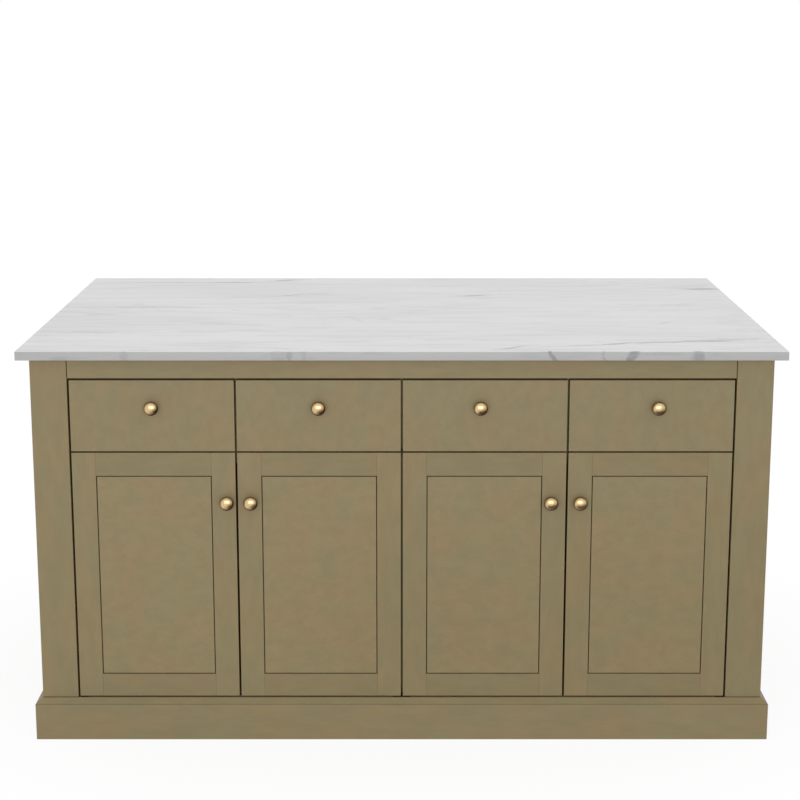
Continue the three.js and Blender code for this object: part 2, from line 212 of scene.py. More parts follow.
def birch(name, grain, thin, lipped=True, plies=True):
    """Birch whose grain runs along one axis and whose board is thin along another."""
    material, tree, shader, at = new_material(name)
    figure = noise(tree, at, 70, 5, along(grain, 0.04), 0.6)
    flecks = noise(tree, at, 1400, 3, along(grain, 0.03))
    face = mix(tree, spread(tree, figure, 0.3, 0.7), linear(222, 197, 158), linear(209, 180, 138))
    face = mix(tree, spread(tree, flecks, 0.52, 0.75, 0, 0.25), face, linear(160, 122, 80))
    place = add(tree, "SeparateXYZ", {0: at}).outputs
    facing = add(tree, "SeparateXYZ", {0: tree.nodes["Texture Coordinate"].outputs["Normal"]}).outputs
    if plies:
        layer = sums(tree, "FRACT", sums(tree, "MULTIPLY", place[thin], 0.5 / ply_thickness))
        edge = mix(tree, spread(tree, layer, 0.44, 0.56), linear(206, 178, 134), linear(142, 104, 66))
        on_edge = sums(tree, "LESS_THAN", sums(tree, "ABSOLUTE", facing[thin]), 0.7)
    else:
        rings = sums(tree, "FRACT", sums(tree, "MULTIPLY", figure, 9))
        edge = mix(tree, rings, linear(186, 152, 106), linear(168, 132, 88))
        on_edge = sums(tree, "GREATER_THAN", sums(tree, "ABSOLUTE", facing[grain]), 0.7)
    colour = mix(tree, on_edge, face, edge)
    if lipped:
        lip = sums(tree, "LESS_THAN", place[Y], carcass_front + 0.6 * mm)
        colour = mix(tree, lip, colour, linear(135, 120, 84))
    fill(tree, shader.inputs["Base Color"], colour)
    shader.inputs["Roughness"].default_value = 0.42
    bump = add(tree, "Bump", {"Strength": 0.25, "Distance": 0.0001, "Height": flecks})
    fill(tree, shader.inputs["Normal"], bump.outputs[0])
    return material


# %% [markdown]
# ## Marble
#
# The worktop is a thin, pale stone with soft grey veins. Most run along the slab in long streaks and
# a few stand across its front edge. Each one starts as a spherical gradient, a soft dot that fades to
# nothing at its rim. A Mapping node stretches that dot to the length, the width and the turn of a
# vein. Noise shakes the coordinates first, so the vein wanders and frays as a real one does. Each
# has a wide faint halo and, where it is strong, a thin dark core. Faint wisps and short streaks run
# between them. The upright edges are painted a shade darker than the top, as painted shade.

# %% The veins, in millimetres on the slab
# Middle (x, y), half length, half width, turn in degrees, strength
long_veins = [
    (-620, 405, 330, 16, 0, 0.7), (-450, 407, 160, 12, 0, 1), (-310, 440, 95, 20, 14, 0.85),
    (-170, 462, 150, 10, 0, 0.5), (-640, 186, 170, 9, 0, 0.35), (-400, 180, 150, 10, 3, 0.55),
    (-290, 208, 90, 12, 28, 0.85), (-235, 230, 80, 11, 4, 0.8), (-195, 250, 40, 14, 50, 0.45),
    (-640, 46, 300, 18, 0, 0.7), (-540, 44, 180, 9, 0, 0.65), (-410, 70, 60, 7, 0, 0.45),
    (-705, -265, 125, 9, 0, 0.8), (-340, -254, 110, 8, 0, 0.4), (-215, -212, 65, 12, 6, 0.55),
    (-180, -165, 40, 10, 75, 0.35), (-320, -392, 34, 16, 80, 0.35), (-560, -460, 90, 10, 0, 0.6),
    (185, 206, 85, 18, 8, 0.85), (255, 232, 60, 9, 5, 0.5), (265, 300, 55, 22, 85, 0.35),
    (45, 0, 70, 16, 0, 0.45), (115, 14, 60, 8, 5, 0.45), (470, -14, 95, 12, 3, 0.4),
    (545, 4, 60, 10, 22, 0.4), (790, 302, 110, 28, 1, 1), (700, 216, 60, 10, 14, 0.5),
    (625, -155, 60, 16, 38, 0.55), (770, -160, 130, 40, 0, 0.3), (515, -389, 350, 8, 9.5, 1),
    (245, -432, 90, 10, 26, 0.85), (690, -362, 130, 22, 4, 0.9), (760, -341, 140, 8, 0, 0.9),
    (560, -346, 190, 5, 0, 0.6), (240, -354, 50, 12, -20, 0.5), (610, -373, 150, 10, 3, 1),
]
# The same for the front edge, where x and height take the place of x and y
edge_veins = [
    (-745, 882, 20, 10, 0, 0.3), (-606, 888, 26, 15, 84, 0.45), (-258, 890, 26, 26, 0, 0.35),
    (-236, 888, 26, 7, 80, 0.7), (-205, 890, 26, 7, 70, 0.3), (324, 889, 26, 8, 84, 1),
    (437, 890, 26, 5, 84, 0.5), (496, 888, 38, 15, -48, 1), (560, 894, 60, 6, 0, 0.2),
    (640, 890, 30, 22, 85, 0.65),
]


def vein(tree, shaken, middle, half_sizes, turn):
    """How near each place is to the middle of one vein: a soft dot, stretched and turned."""
    sockets = {"Vector": shaken, "Location": middle, "Rotation": turn, "Scale": half_sizes}
    placed = add(tree, "Mapping", sockets, vector_type="TEXTURE").outputs[0]
    return add(tree, "TexGradient", {"Vector": placed}, gradient_type="SPHERICAL").outputs["Fac"]


# %% The marble
slab_low, slab_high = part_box("worktop")
slab_middle = (slab_low.z + slab_high.z) / 2
# Painted shade for the slab's upright edges.
painted_edge_shade = darker(linear(206, 206, 205), 0.68)
vein_colour = linear(138, 138, 141)
wander = (0.06, 0.035, 0.012)  # how far the noise shakes a vein, in metres


def marble():
    material, tree, shader, at = new_material("marble")
    fray_sockets = {"Vector": at, "Scale": 16, "Detail": 6, "Roughness": 0.62}
    fray = add(tree, "TexNoise", fray_sockets).outputs["Color"]
    centred = add(tree, "VectorMath", {0: fray, 1: (0.5, 0.5, 0.5)}, operation="SUBTRACT").outputs[0]
    shift = add(tree, "VectorMath", {0: centred, 1: wander}, operation="MULTIPLY").outputs[0]
    shaken = add(tree, "VectorMath", {0: at, 1: shift}, operation="ADD").outputs[0]
    veins = 0.0
    for x, y, half_length, half_width, turn, strength in long_veins:
        middle = (x * mm, y * mm, slab_middle)
        sizes = (half_length * mm, half_width * mm, 0.2)
        dot = vein(tree, shaken, middle, sizes, (0, 0, math.radians(turn)))
        veins = sums(tree, "MAXIMUM", veins, sums(tree, "MULTIPLY", dot, strength))
    halo = spread(tree, veins, 0, 0.85, 0, 0.36)
    core = spread(tree, veins, 0.4, 0.8, 0, 0.34)
    veins = sums(tree, "ADD", halo, core)
    for x, z, half_length, half_width, turn, strength in edge_veins:
        middle = (x * mm, slab_low.y, z * mm)
        sizes = (half_length * mm, 12 * mm, half_width * mm)
        dot = vein(tree, shaken, middle, sizes, (0, math.radians(turn), 0))
        veins = sums(tree, "MAXIMUM", veins, spread(tree, dot, 0, 0.6, 0, strength))
    wisps = noise(tree, at, 5, 6, (0.3, 2.4, 2.4), 0.8)
    wisps = spread(tree, sums(tree, "ABSOLUTE", sums(tree, "SUBTRACT", wisps, 0.5)), 0, 0.025, 0.16, 0)
    streaks = spread(tree, noise(tree, at, 26, 6, (0.14, 1.2, 1.2), 0.3), 0.5, 0.75, 0, 0.16)
    veins = sums(tree, "MAXIMUM", veins, sums(tree, "MAXIMUM", wisps, streaks))
    broken = spread(tree, noise(tree, at, 90, 4, (0.25, 1, 1)), 0.3, 0.6, 0.55, 1)
    veins = sums(tree, "MULTIPLY", veins, broken)
    cloud = noise(tree, at, 3.2, 5, (0.5, 1.4, 1.4), 0.3)
    colour = mix(tree, spread(tree, cloud, 0.35, 0.7), linear(227, 227, 227), linear(220, 220, 221))
    facing = add(tree, "SeparateXYZ", {0: tree.nodes["Texture Coordinate"].outputs["Normal"]}).outputs[Z]
    # Painted shade: faces that don't face up get the darker edge colour.
    colour = mix(tree, spread(tree, facing, 0.3, 0.8), painted_edge_shade, colour)
    colour = mix(tree, veins, colour, vein_colour)
    fill(tree, shader.inputs["Base Color"], colour)
    shader.inputs["Roughness"].default_value = 0.5
    shader.inputs["IOR"].default_value = 1.45
    polish = noise(tree, at, 420, 3)
    bump = add(tree, "Bump", {"Strength": 0.08, "Distance": 0.0001, "Height": polish})
    fill(tree, shader.inputs["Normal"], bump.outputs[0])
    return material


stone = marble()
print(len(long_veins) + len(edge_veins), "veins")

# %% [markdown]
# ## Brass and bronze
#
# The knobs are solid brass, bright on the crown. The neck and the foot, where no thumb or cloth
# reaches, go brown with tarnish, and the rim and the lower right side are darkened as a painted dark
# reflection. Both follow the turned shape, so they are kept on the mesh as one attribute called
# tarnish_and_dark_reflection, and the material reads it. The hinges are steel with a coating of dark
# bronze. The strike plates and the screws behind the knobs are plain steel, and the housings of the
# catches are moulded plastic.

# %% The metals
def metal(name, bright, dull, roughness):
    """Metal that dulls and roughens where the mesh is tarnished or carries a painted dark reflection."""
    material, tree, shader, at = new_material(name)
    smudge = noise(tree, at, 160, 3)
    tarnish_and_dark_reflection = add(tree, "Attribute", attribute_name="tarnish_and_dark_reflection").outputs["Fac"]
    fill(tree, shader.inputs["Base Color"], mix(tree, tarnish_and_dark_reflection, bright, dull))
    rough = sums(tree, "ADD", spread(tree, smudge, 0.3, 0.7, roughness, roughness + 0.06),
                 sums(tree, "MULTIPLY", tarnish_and_dark_reflection, 0.12))
    fill(tree, shader.inputs["Roughness"], rough)
    shader.inputs["Metallic"].default_value = 1
    return material


# The dull colour stands for tarnish and for the painted dark reflection on the knobs.
brass = metal("brass", linear(216, 186, 140), linear(84, 58, 30), 0.26)
bronze = metal("bronze", linear(60, 52, 45), linear(34, 29, 25), 0.42)
steel = metal("steel", linear(168, 170, 172), linear(120, 118, 114), 0.34)


def moulded(name, colour):
    """Moulded plastic with the fine grain of a sparked tool."""
    material, tree, shader, at = new_material(name)
    grain = noise(tree, at, 2200, 2)
    specks = spread(tree, grain, 0.3, 0.7, 0, 0.2)
    fill(tree, shader.inputs["Base Color"], mix(tree, specks, colour, (0, 0, 0, 1)))
    shader.inputs["Roughness"].default_value = 0.5
    bump = add(tree, "Bump", {"Strength": 0.3, "Distance": 0.0001, "Height": grain})
    fill(tree, shader.inputs["Normal"], bump.outputs[0])
    return material


catch_plastic = moulded("catch_plastic", linear(92, 74, 52))

# %% [markdown]
# ## Studio
#
# A white sweep with three soft lamps: a weak one overhead, a wide one in front, and one behind that
# stays out of reflections. The floor reflects light as a pale surface does, but the camera and the
# polished metal see it almost pure white. Only a share of its shading is left, for the contact
# shadow, and that fades out a step away from the island. The world does the same with its own light.
# A dark flag lies on the floor in front of the island, to the right. Only glossy surfaces see it: it
# gives the polished knobs a dark side.

# %% Floor, world and lamps
def seen_directly(tree):
    """1 for rays from the camera, from glossy surfaces and through glass, and 0 for all others."""
    path = add(tree, "LightPath").outputs
    seen = sums(tree, "MAXIMUM", path["Is Camera Ray"], path["Is Glossy Ray"])
    return sums(tree, "MAXIMUM", seen, path["Is Transmission Ray"])


def level_sheet(name, half_width, half_depth, place):
    """A level sheet of the studio's, which isn't part of the island."""
    shape = bmesh.new()
    bmesh.ops.create_grid(shape, x_segments=1, y_segments=1, size=1)
    bmesh.ops.scale(shape, vec=(half_width, half_depth, 1), verts=shape.verts)
    bmesh.ops.translate(shape, vec=place, verts=shape.verts)
    sheet = bpy.data.objects.new(name, bpy.data.meshes.new(name))
    shape.to_mesh(sheet.data)
    shape.free()
    scene.collection.objects.link(sheet)
    return sheet


shadow_share = 0.12  # of the floor's real shading, in what the camera sees close to the island
floor = level_sheet("floor", 20, 20, (0, 0, 0))
floor_paint, tree, shader, at = new_material("floor")
shader.inputs["Base Color"].default_value = (0.8, 0.8, 0.8, 1)
shader.inputs["Roughness"].default_value = 0.9
shader.inputs["Specular IOR Level"].default_value = 0
glow = add(tree, "Emission", {"Color": (1, 1, 1, 1), "Strength": 1.02}).outputs[0]
from_middle = add(tree, "VectorMath", {0: at, 1: (0.7, 1, 0)}, operation="MULTIPLY").outputs[0]
distance = add(tree, "VectorMath", {0: from_middle}, operation="LENGTH").outputs["Value"]
white = spread(tree, distance, 0.5, 1.5, 1 - shadow_share, 1)
share = sums(tree, "MULTIPLY", seen_directly(tree), white)
blended = add(tree, "MixShader", {0: share, 1: shader.outputs[0], 2: glow}).outputs[0]
tree.links.new(blended, tree.nodes["Material Output"].inputs["Surface"])
floor.data.materials.append(floor_paint)

sky_light = 0.78
world = bpy.data.worlds.new("studio")
scene.world = world
world.use_nodes = True
tree = world.node_tree
strength = spread(tree, seen_directly(tree), 0, 1, sky_light, 1.0)
tree.nodes["Background"].inputs["Color"].default_value = (1, 1, 1, 1)
tree.links.new(strength, tree.nodes["Background"].inputs["Strength"])


def lamp(name, place, width, height, watts, mirrored=True):
    """A softbox that faces the middle of the island, and may stay out of reflections."""
    light = bpy.data.objects.new(name, bpy.data.lights.new(name, "AREA"))
    light.data.shape = "RECTANGLE"
    light.data.size = width
    light.data.size_y = height
    light.data.energy = watts
    light.location = place
    light.rotation_euler = (Vector((0, 0, 0.5)) - Vector(place)).to_track_quat("-Z", "Y").to_euler()
    light.visible_camera = False
    light.visible_glossy = mirrored
    scene.collection.objects.link(light)


lamp("overhead_softbox", (-0.4, -0.6, 4.2), 3.0, 3.0, 7)
lamp("front_softbox", (-0.1, -4.6, 1.6), 4.2, 1.5, 60)
lamp("back_softbox", (0.9, 4.6, 2.3), 4.2, 1.5, 22, mirrored=False)

flag = level_sheet("flag", 1.1, 0.55, (0.85, -1.25, 0.01))
for ray in ("camera", "diffuse", "shadow", "transmission", "volume_scatter"):
    setattr(flag, f"visible_{ray}", False)
flag_cloth, tree, shader, at = new_material("flag")
shader.inputs["Base Color"].default_value = (0.05, 0.03, 0.02, 1)
flag.data.materials.append(flag_cloth)
print("studio ready")

# %% [markdown]
# ## Sawn and eased boards
#
# Nearly every piece is a board. It starts as a cube scaled to its two corners, and a small bevel
# takes the sharpness off its edges, as a joiner does with sandpaper: without it an edge has no
# highlight and looks like paper. Grooves, tongues, fields and fingers all come from one move, which
# slices a flat face at some limits and pushes the part between them in or out.

# %% Helpers for boards
tiny = 1e-6  # metres, the slack in comparing places
sharp_angle = 0.3  # radians, above which an edge is rounded


def block(low, high):
    """A board between two corners, with sharp edges."""
    board = bmesh.new()
    bmesh.ops.create_cube(board, size=1)
    bmesh.ops.scale(board, vec=[b - a for a, b in zip(low, high)], verts=board.verts)
    bmesh.ops.translate(board, vec=[(a + b) / 2 for a, b in zip(low, high)], verts=board.verts)
    return board


def ease(board, width=0.5 * mm, segments=2, edges=None):
    """Rounds the corners of a board, or only the edges given."""
    sharp = [
        edge for edge in (edges or board.edges[:])
        if len(edge.link_faces) == 2 and edge.calc_face_angle() > sharp_angle
    ]
    bmesh.ops.bevel(board, geom=sharp, offset=width, offset_type="OFFSET", segments=segments,
                    profile=0.5, affect="EDGES", clamp_overlap=True, material=-1)
    return board


def slice_at(board, axis, place):
    point = [place if a == axis else 0 for a in (X, Y, Z)]
    normal = [1 if a == axis else 0 for a in (X, Y, Z)]
    geom = board.verts[:] + board.edges[:] + board.faces[:]
    bmesh.ops.bisect_plane(board, geom=geom, plane_co=point, plane_no=normal)


def flat_part(board, axis, place, limits):
    """The faces that lie at a place along an axis, between limits along the other axes."""
    found = []
    for face in board.faces:
        centre = face.calc_center_median()
        inside = all(low < centre[a] < high for a, (low, high) in limits.items())
        if inside and all(abs(v.co[axis] - place) < tiny for v in face.verts):
            found.append(face)
    return found


def push(board, axis, place, limits, distance):
    """Slices the flat face at a place along an axis, and pushes the part between the limits."""
    for across, ends in limits.items():
        for end in ends:
            slice_at(board, across, end)
    pushed = bmesh.ops.extrude_face_region(board, geom=flat_part(board, axis, place, limits))
    moved = [item for item in pushed["geom"] if isinstance(item, bmesh.types.BMVert)]
    step = [distance if a == axis else 0 for a in (X, Y, Z)]
    bmesh.ops.translate(board, vec=step, verts=moved)
    return board


def add_piece(name, shape, body, material, slot, *stands_for, smooth=None):
    """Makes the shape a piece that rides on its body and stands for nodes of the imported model."""
    bmesh.ops.recalc_face_normals(shape, faces=shape.faces[:])
    mesh = bpy.data.meshes.new(name)
    shape.to_mesh(mesh)
    shape.free()
    mesh.materials.append(material)
    # Faces with material index 1 get the painted shade for grooves and gaps.
    if max(face.material_index for face in mesh.polygons):
        mesh.materials.append(gap_shade_paint)
    if smooth:
        mesh.shade_smooth()
        mesh.set_sharp_from_angle(angle=smooth)
    piece = bpy.data.objects.new(name, mesh)
    scene.collection.objects.link(piece)
    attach(piece, body)
    if stands_for:
        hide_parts(*stands_for)


# %% [markdown]
# ## Worktop
#
# One slab of stone, 20 mm thick. Its long edges have a small rounded arris, four facets round, so
# that the light runs along it in a thin line.

# %% The worktop
arris = 1.5 * mm
slab = ease(block(slab_low, slab_high), arris, 4)
add_piece("worktop_slab", slab, "carcass", stone, "stone", "worktop", smooth=math.radians(40))
print("worktop", [round(s, 4) for s in slab_high - slab_low])

# %% [markdown]
# ## Posts and top rail
#
# Each corner post is two boards glued into an L. The outline is drawn as one face and extruded
# upwards, and the four posts are the same shape turned by quarters. Just above the plinth a thin
# groove runs round each post: a shadow line, which hides the joint between post and plinth, and whose
# faces carry painted shade. The rail between the front posts has a little air at its ends, and its
# end faces carry painted shade too, so a dark joint shows there.

# %% The posts and the rail
post_thickness = 20 * mm
post_width = 80 * mm
edge_ease = 0.7 * mm
shadow_line_height = 1.4 * mm
shadow_line_depth = 1.2 * mm


def turned(x, y, z, quarter):
    """The place of a shape that is turned by quarters about the upright axis."""
    return Matrix.Translation((x, y, z)) @ Matrix.Rotation(quarter * math.pi / 2, 4, "Z")


def raised(outline, height):
    """A flat outline of (x, y) points raised to a height."""
    shape = bmesh.new()
    face = shape.faces.new([shape.verts.new((x, y, 0)) for x, y in outline])
    lifted = bmesh.ops.extrude_face_region(shape, geom=[face])
    top = [item for item in lifted["geom"] if isinstance(item, bmesh.types.BMVert)]
    bmesh.ops.translate(shape, vec=(0, 0, height), verts=top)
    bmesh.ops.recalc_face_normals(shape, faces=shape.faces[:])
    return shape


def shadow_line(board, z):
    """Cuts a thin groove round an upright board, from height z upwards, and gives it painted shade."""
    top = z + shadow_line_height
    for place in (z, top):
        slice_at(board, Z, place)
    band = [
        face for face in board.faces
        if z < face.calc_center_median().z < top and abs(face.normal.z) < 0.1
    ]
    bmesh.ops.inset_region(board, faces=band, thickness=0, depth=-shadow_line_depth,
                           use_even_offset=True)
    # The groove's faces get the painted shade for grooves and gaps.
    for face in board.faces:
        face.material_index = int(z - tiny < face.calc_center_median().z < top + tiny)


plinth_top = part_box("front_plinth")[1].z
w, t = post_width, post_thickness
post_outline = [(0, 0), (w, 0), (w, t), (t, t), (t, w), (0, w)]
post_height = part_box("front_left_post")[1].z
left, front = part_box("front_left_post")[0].xy
right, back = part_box("back_right_post")[1].xy
corners = {
    "front_left_post": (left, front),
    "front_right_post": (right, front),
    "back_right_post": (right, back),
    "back_left_post": (left, back),
}
for quarter, (name, (x, y)) in enumerate(corners.items()):
    post = ease(raised(post_outline, post_height), edge_ease)
    shadow_line(post, plinth_top)
    bmesh.ops.transform(post, matrix=turned(x, y, 0, quarter), verts=post.verts)
    add_piece(f"{name}_boards", post, "carcass", paints[Z], "painted_wood", name)

rail = ease(block(*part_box("front_top_rail")), edge_ease)
# The rail's end faces get the painted shade for grooves and gaps.
for face in rail.faces:
    face.material_index = int(abs(face.normal.x) > 0.9)
add_piece("front_top_rail_board", rail, "carcass", paints[X], "painted_wood", "front_top_rail")
print("posts stand at", {name: (round(x, 3), round(y, 3)) for name, (x, y) in corners.items()})

# %% [markdown]
# ## Plinth
#
# Four boards go round the foot. Their top slopes up to the posts, and where the slope leaves the
# upright face a small quirk, painted with shade, makes a thin dark line. The ends are mitred: each
# point of the section reaches as far past the corner of the body as it stands out from it, so the two
# boards meet on the diagonal. The section is drawn at one end and extruded, and the far end is
# mirrored in place.

# %% The plinth
plinth_thickness = 15 * mm
plinth_clearance = 0.3 * mm  # between the plinth and the posts
slope_height = 10.5 * mm
slope_top = 1 * mm  # how thick the plinth still is at its top
quirk = 0.6 * mm


def plinth_board(node_length, low, high):
    """A board that stands out towards -Y from y = 0, mitred for a body of the given length."""
    slope_foot = high - slope_height
    slope = (plinth_thickness - slope_top) / slope_height
    section = [
        (plinth_clearance, low),
        (plinth_thickness, low),
        (plinth_thickness, slope_foot - quirk),
        (plinth_thickness - 1.6 * quirk, slope_foot),
        (plinth_thickness - quirk * slope, slope_foot + quirk),
        (slope_top, high),
        (plinth_clearance, high),
    ]
    shape = bmesh.new()
    reach = node_length / 2 - plinth_thickness
    face = shape.faces.new([shape.verts.new((-reach - out, -out, z)) for out, z in section])
    far = bmesh.ops.extrude_face_region(shape, geom=[face])
    far_points = [item for item in far["geom"] if isinstance(item, bmesh.types.BMVert)]
    bmesh.ops.scale(shape, vec=(-1, 1, 1), verts=far_points)
    bmesh.ops.recalc_face_normals(shape, faces=shape.faces[:])
    ease(shape, 0.25 * mm, 1)
    # The quirk's faces get the painted shade for grooves and gaps.
    for face in shape.faces:
        face.material_index = int(abs(face.calc_center_median().z - slope_foot) < 0.8 * quirk)
    return shape


plinth_places = {
    "front_plinth": (0, front, X),
    "right_plinth": (right, 0, Y),
    "back_plinth": (0, back, X),
    "left_plinth": (left, 0, Y),
}
for quarter, (name, (x, y, run)) in enumerate(plinth_places.items()):
    low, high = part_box(name)
    board = plinth_board((high - low)[run], low.z, high.z)
    bmesh.ops.transform(board, matrix=turned(x, y, 0, quarter), verts=board.verts)
    add_piece(f"{name}_board", board, "carcass", paints[run], "painted_wood", name)
print("plinth boards", len(plinth_places))

# %% [markdown]
# ## Frames and panels
#
# A door is four boards round a panel: two stiles for its full height and two rails between them. The
# panel has a tongue all round that stands in a groove of the frame, free to swell and shrink, and a
# field in front that is nearly flush, with a narrow shadow gap round it, whose faces carry painted
# shade. The two ends and the back of the island are made the same way with more fields, so one
# function makes them all. It works in the panel's own coordinates, with its face at y = 0, and each
# board is moved into place afterwards.

# %% The boards of a framed panel
stile_width = 52.5 * mm
shadow_gap = 2 * mm
shadow_depth = 6 * mm
field_setback = 0.8 * mm
tongue_thickness = 8 * mm
tongue = 7 * mm
groove_depth = 8 * mm
groove_slack = 0.3 * mm
glue_line = 0.05 * mm
groove_y = (shadow_depth - groove_slack, shadow_depth + tongue_thickness + groove_slack)


def stile(left, thickness, height, groove_z, grooves):
    """An upright of the frame, grooved on its left (-1) or right (1) edge, or on both."""
    board = ease(block((left, 0, 0), (left + stile_width, thickness, height)))
    for way in grooves:
        edge = left if way < 0 else left + stile_width
        push(board, X, edge, {Y: groove_y, Z: groove_z}, -way * groove_depth)
    return board


def rail_between(left, right, low, high, thickness, way):
    """A cross piece, grooved on its upper (1) or lower (-1) edge."""
    board = ease(block((left + glue_line, 0, low), (right - glue_line, thickness, high)))
    edge = high if way > 0 else low
    inset = 0.6 * mm
    return push(board, Z, edge, {X: (left + inset, right - inset), Y: groove_y}, -way * groove_depth)


def field_panel(left, right, low, high):
    """A panel with its tongue round a raised field, whose rim is eased."""
    tongue_low = (left - tongue, shadow_depth, low - tongue)
    tongue_high = (right + tongue, shadow_depth + tongue_thickness, high + tongue)
    panel = block(tongue_low, tongue_high)
    limits = {X: (left + shadow_gap, right - shadow_gap), Z: (low + shadow_gap, high - shadow_gap)}
    push(panel, Y, shadow_depth, limits, field_setback - shadow_depth)
    rim = {e for f in flat_part(panel, Y, field_setback, limits) for e in f.edges}
    ease(panel, 0.5 * mm, 2, list(rim))
    # The faces down in the shadow gap get the painted shade for grooves and gaps.
    for face in panel.faces:
        face.material_index = int(1.5 * mm < face.calc_center_median().y < tongue_high[Y] - tiny)
    return panel


def framed_panel(width, height, thickness, lower_rail, fields):
    """Each board's name, its shape, and whether it is solid, with its grain up or across, or veneer."""
    open_width = (width - (fields + 1) * stile_width) / fields
    low, high = lower_rail, height - stile_width
    groove_z = (low - groove_depth, high + groove_depth)
    for k in range(fields + 1):
        left = -width / 2 + k * (open_width + stile_width)
        grooves = [way for way, used in ((-1, k > 0), (1, k < fields)) if used]
        yield f"stile_{k + 1}", stile(left, thickness, height, groove_z, grooves), "up"
        if k < fields:
            a = left + stile_width
            b = a + open_width
            yield f"lower_rail_{k + 1}", rail_between(a, b, 0, low, thickness, 1), "across"
            yield f"upper_rail_{k + 1}", rail_between(a, b, high, height, thickness, -1), "across"
            yield f"field_{k + 1}", field_panel(a, b, low, high), "veneer"


# %% The two ends and the back
framed_places = {
    "right_end_panel": (right, 0, 1, 2),
    "back_panel": (0, back, 2, 4),
    "left_end_panel": (left, 0, 3, 2),
}
for name, (x, y, quarter, fields) in framed_places.items():
    low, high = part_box(name)
    run = Y if quarter % 2 else X
    lower_rail = plinth_top + stile_width
    thickness = min(high.x - low.x, high.y - low.y)
    for part, shape, grain in framed_panel((high - low)[run], high.z, thickness, lower_rail, fields):
        if grain != "veneer" and "upper" not in part:
            shadow_line(shape, plinth_top)
        bmesh.ops.transform(shape, matrix=turned(x, y, 0, quarter), verts=shape.verts)
        finish = {"up": paints[Z], "across": rail_paints[run], "veneer": veneer_paints[run]}[grain]
        add_piece(f"{name}_{part}", shape, "carcass", finish, "painted_wood", name)
print("framed sides", list(framed_places))

# %% [markdown]
# ## Doors
#
# Each door is one framed panel. Its hinge stile has a round bore in each end for a hinge pin. The
# bore starts as a square sliced out of the end of the stile. The square's sides are divided, their
# points are moved onto a circle, and the round face is pushed in.

# %% Bores for the pins
bore_radius = 2.35 * mm
bore_depth = 13.5 * mm


def bore(board, x, y, z, way):
    """A round hole into the end of a board at height z, going up (1) or down (-1)."""
    square = {X: (x - bore_radius, x + bore_radius), Y: (y - bore_radius, y + bore_radius)}
    for axis, ends in square.items():
        for end in ends:
            slice_at(board, axis, end)
    face = flat_part(board, Z, z, square)[0]
    rim = list(face.edges)
    bmesh.ops.subdivide_edges(board, edges=rim, cuts=5)
    face = flat_part(board, Z, z, square)[0]
    centre = Vector((x, y, z))
    for vert in face.verts:
        vert.co = centre + (vert.co - centre).normalized() * bore_radius
    sunk = bmesh.ops.extrude_face_region(board, geom=[face])
    moved = [item for item in sunk["geom"] if isinstance(item, bmesh.types.BMVert)]
    bmesh.ops.translate(board, vec=(0, 0, way * bore_depth), verts=moved)


# %% The four doors
pivot_from_edge = 8 * mm
pivot_from_face = 5 * mm
for number in range(1, 5):
    name = f"door_{number}"
    low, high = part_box(f"{name}_frame")
    middle = (low.x + high.x) / 2
    width, thickness, height = high - low
    hinge_side = -1 if number % 2 else 1
    hinge_stile = "stile_1" if hinge_side < 0 else "stile_2"
    for part, shape, grain in framed_panel(width, height, thickness, stile_width, 1):
        if part == hinge_stile:
            pin = hinge_side * (width / 2 - pivot_from_edge)
            bore(shape, pin, pivot_from_face, 0, 1)
            bore(shape, pin, pivot_from_face, height, -1)
        bmesh.ops.translate(shape, vec=(middle, low.y, low.z), verts=shape.verts)
        stands_for = f"{name}_panel" if part.startswith("field") else f"{name}_frame"
        finish = {"up": paints[Z], "across": rail_paints[X], "veneer": veneer_paints[X]}[grain]
        add_piece(f"{name}_{part}", shape, name, finish, "painted_wood", stands_for)
    print(name, "stands", round(height, 4), "m high")

# %% [markdown]
# ## Drawers
#
# A drawer has a plain painted front and, behind it, a birch box. The sides of the box meet its front
# and back in finger joints: each board's end is sliced into fingers, and every second one is pushed
# out through the thickness of its neighbour. The bottom panel sits in the box, and under it two guide
# strips run along the drawer's centre runner.

# %% Drawer fronts and boxes
side_thickness = 12 * mm
bottom_thickness = 8 * mm
bottom_lift = 10 * mm
finger_count = 7
guide_from_middle = 20.5 * mm
guide_width = 14 * mm
birch_side = birch("birch_drawer_side", Y, X, lipped=False, plies=False)
birch_cross = birch("birch_drawer_cross", X, Y, lipped=False, plies=False)
birch_bottom = birch("birch_drawer_bottom", X, Z, lipped=False)


def fingers(board, axis, ends, first, base, top):
    """Pushes every second finger out of both ends of a board."""
    pitch = (top - base) / finger_count
    for end, way in ((ends[0], -1), (ends[1], 1)):
        for k in range(first, finger_count, 2):
            limits = {Z: (base + k * pitch, base + (k + 1) * pitch)}
            push(board, axis, end, limits, way * side_thickness)


def drawer_box(low, high):
    """Each board's name, shape and material."""
    s = side_thickness
    base = low.z + bottom_lift
    inner_x = (low.x + s, high.x - s)
    inner_y = (low.y + s, high.y - s)
    for label, a in (("left", low.x), ("right", high.x - s)):
        side = block((a, inner_y[0], low.z), (a + s, inner_y[1], high.z))
        for end, way in ((inner_y[0], -1), (inner_y[1], 1)):
            push(side, Y, end, {Z: (low.z - s, base)}, way * s)
        fingers(side, Y, inner_y, 1, base, high.z)
        yield f"{label}_side", side, birch_side
    for label, a in (("inner_front", low.y), ("inner_back", high.y - s)):
        cross = block((inner_x[0], a, base), (inner_x[1], a + s, high.z))
        fingers(cross, X, inner_x, 0, base, high.z)
        yield label, cross, birch_cross
    bottom_low = (inner_x[0], inner_y[0], base)
    yield "bottom", block(bottom_low, (inner_x[1], inner_y[1], base + bottom_thickness)), birch_bottom
    middle = (low.x + high.x) / 2
    for label, way in (("left_guide", -1), ("right_guide", 1)):
        near = middle + way * guide_from_middle
        a, b = sorted((near, near + way * guide_width))
        yield label, block((a, low.y, low.z), (b, high.y, base)), birch_side


